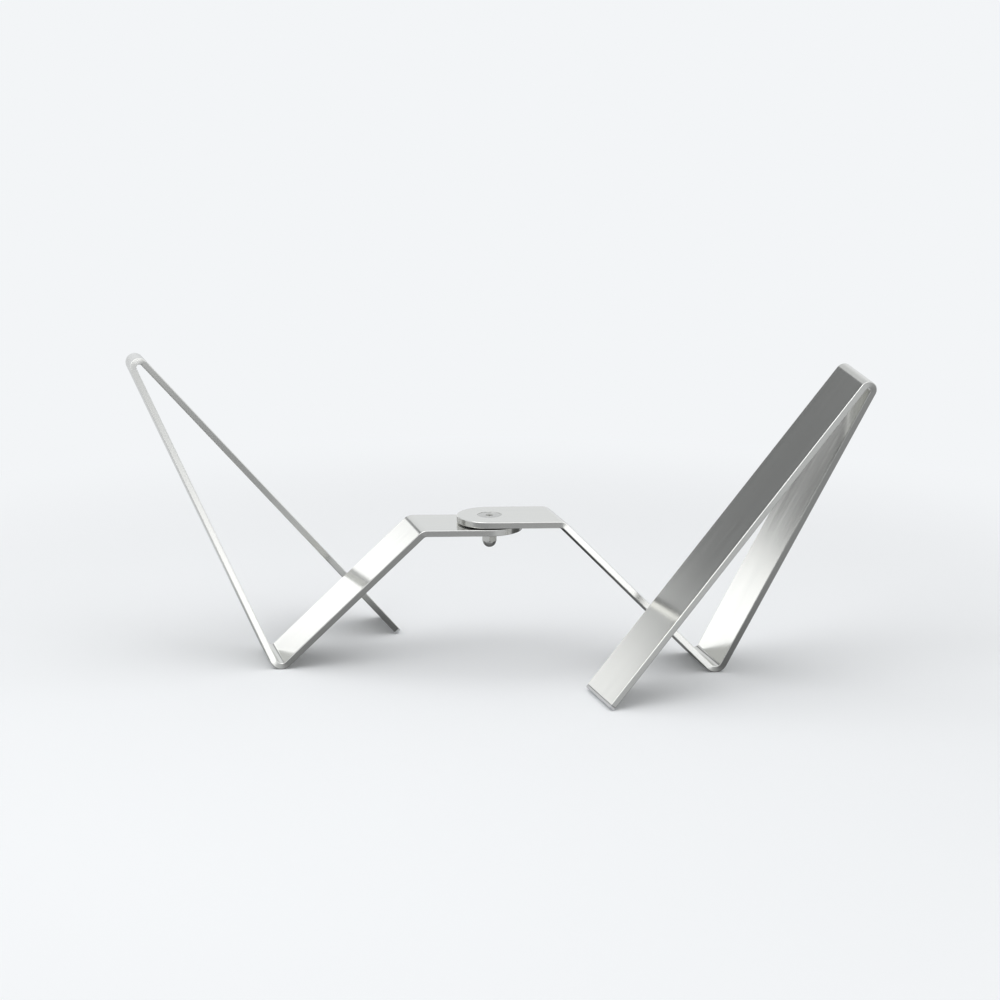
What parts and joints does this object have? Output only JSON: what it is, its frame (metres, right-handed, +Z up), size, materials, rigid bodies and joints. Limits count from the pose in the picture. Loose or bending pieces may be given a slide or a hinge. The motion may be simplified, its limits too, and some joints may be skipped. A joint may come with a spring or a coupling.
{
  "type": "folding bookstand rack",
  "caption": "Folding rack of bent steel straps that holds a large volume open: zigzag halves with padded feet swing about an upright friction pivot under the spine.",
  "frame": {"origin": "on the floor under the pivot, which is also the middle of the open stand's footprint", "axes": "+X from the pivot towards the half that carries the upper tab, +Y away from the viewer of the picture, +Z up along the pivot"},
  "size_m": [0.5188, 0.2188, 0.217],
  "materials": {
    "upper_strap": "fine lengthwise brushed stainless, close to a satin mirror",
    "lower_strap": "fine lengthwise brushed stainless, close to a satin mirror",
    "upper_foot_pad": "matt light grey elastomer, slightly worn",
    "lower_foot_pad": "matt light grey elastomer, slightly worn",
    "pivot_screw": "turned stainless with concentric tool marks on the head",
    "pivot_bush": "moulded black acetal",
    "friction_washer": "punched black acetal sheet",
    "disc_spring": "dark phosphated spring steel",
    "clamp_washer": "plain stainless washer, tumbled edges",
    "cap_nut": "polished stainless dome over a turned hexagon"
  },
  "bodies": {
    "upper_side": {"upper_strap": "upper_strap", "upper_foot_pad": "upper_foot_pad", "pivot_screw": "pivot_screw", "friction_washer": "friction_washer", "disc_spring": "disc_spring", "clamp_washer": "clamp_washer", "cap_nut": "cap_nut"},
    "lower_side": {"lower_strap": "lower_strap", "lower_foot_pad": "lower_foot_pad", "pivot_bush": "pivot_bush"}
  },
  "joints": [
    {"name": "fold_swing", "type": "hinge", "parent": "upper_side", "child": "lower_side", "pos_m": [0, 0, 0.1], "axis": [0, 0, 1], "range_deg": [-115, 115]}
  ]
}
